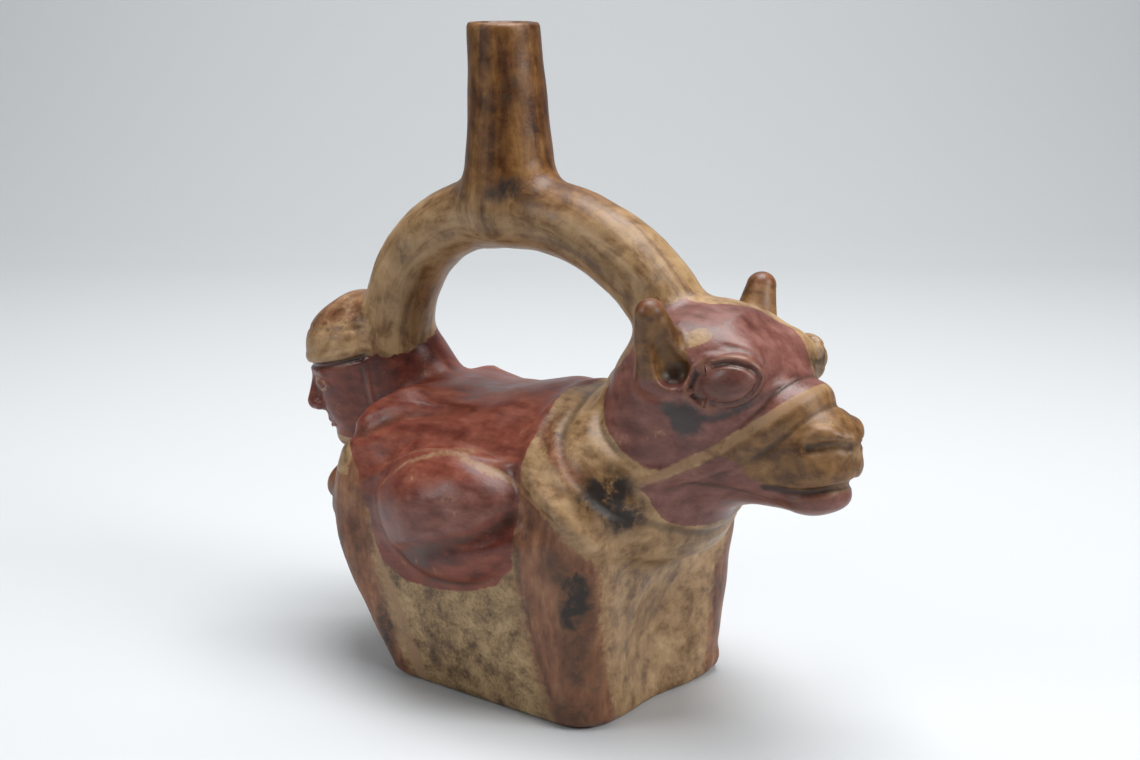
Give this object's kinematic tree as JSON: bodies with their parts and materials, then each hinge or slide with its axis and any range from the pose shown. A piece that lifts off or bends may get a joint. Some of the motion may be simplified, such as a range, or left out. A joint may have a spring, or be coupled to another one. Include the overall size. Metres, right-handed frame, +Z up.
{
  "type": "ceramic stirrup-spout bottle",
  "caption": "Hollow fired-clay stirrup-spout bottle in the form of a rider lying along a llama, with a human head at the rear and the animal's head in front.",
  "frame": {"origin": "centre of the flat underside, on the surface that the bottle stands on", "axes": "+X towards the llama's head, +Z up, +Y towards the llama's left side"},
  "size_m": [0.2362, 0.1191, 0.23],
  "materials": {
    "fired_clay": "burnished red and cream slip, semi-gloss"
  },
  "bodies": {
    "root": {"stirrup_bottle": "fired_clay"}
  },
  "joints": []
}
